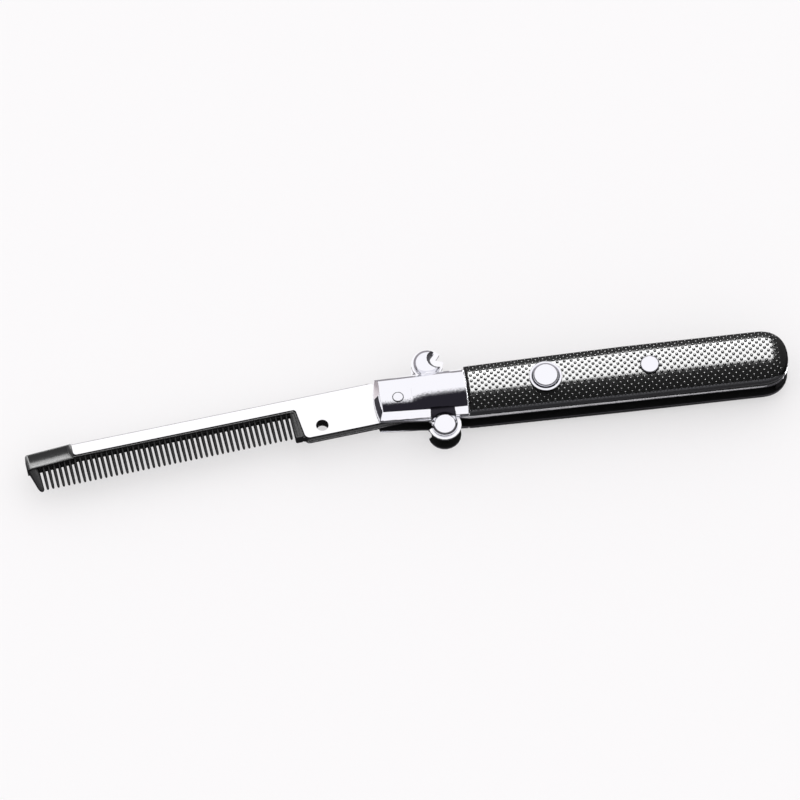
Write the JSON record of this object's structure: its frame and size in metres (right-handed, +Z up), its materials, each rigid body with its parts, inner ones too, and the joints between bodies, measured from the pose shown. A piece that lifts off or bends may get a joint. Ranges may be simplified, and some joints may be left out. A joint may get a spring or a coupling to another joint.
{
  "type": "folding comb",
  "caption": "Push-button folding comb: a black comb in a polished steel blade that swings out of a handle with a chrome bolster, round guards and pebbled black covers.",
  "frame": {"origin": "on the surface that the comb lies on, below the middle of its box, with the comb open", "axes": "+X along the handle to its rounded end, +Y to the back edge of the blade, +Z up, out of the side with the button"},
  "size_m": [0.22, 0.0302, 0.0182],
  "materials": {
    "plate_steel": "nickel-plated sheet steel, semi-bright",
    "bolster_chrome": "chrome-plated zinc casting, polished",
    "cover_plastic": "black moulded plastic, glossy, pebbled all over",
    "inner_plastic": "black moulded plastic, satin",
    "fitting_chrome": "chrome-plated, mirror bright",
    "sleeve_steel": "polished stainless sheet with faint lengthwise grain",
    "comb_plastic": "black moulded plastic, semi-gloss"
  },
  "bodies": {
    "handle": {"plate_near": "plate_steel", "plate_far": "plate_steel", "bolster_near": "bolster_chrome", "bolster_far": "bolster_chrome", "cover_near": "cover_plastic", "cover_far": "cover_plastic", "back_bar": "inner_plastic", "end_block": "inner_plastic", "pivot_pin": "fitting_chrome", "button_ring": "fitting_chrome", "rear_rivet": "fitting_chrome"},
    "blade": {"blade_sleeve": "sleeve_steel", "comb_insert": "comb_plastic"},
    "button": {"push_button": "fitting_chrome"}
  },
  "joints": [
    {"name": "blade_fold", "type": "hinge", "parent": "handle", "child": "blade", "pos_m": [-0.00249, -0.00088, 0.00765], "axis": [0, 0, 1], "range_deg": [0, 174.07], "stiffness_Nm_per_rad": 0.003, "springref_deg": -17.19},
    {"name": "button_press", "type": "slide", "parent": "handle", "child": "button", "axis": [0, 0, -1], "range_m": [0, 0.0015], "stiffness_N_per_m": 1000, "springref_m": -0.0008}
  ]
}
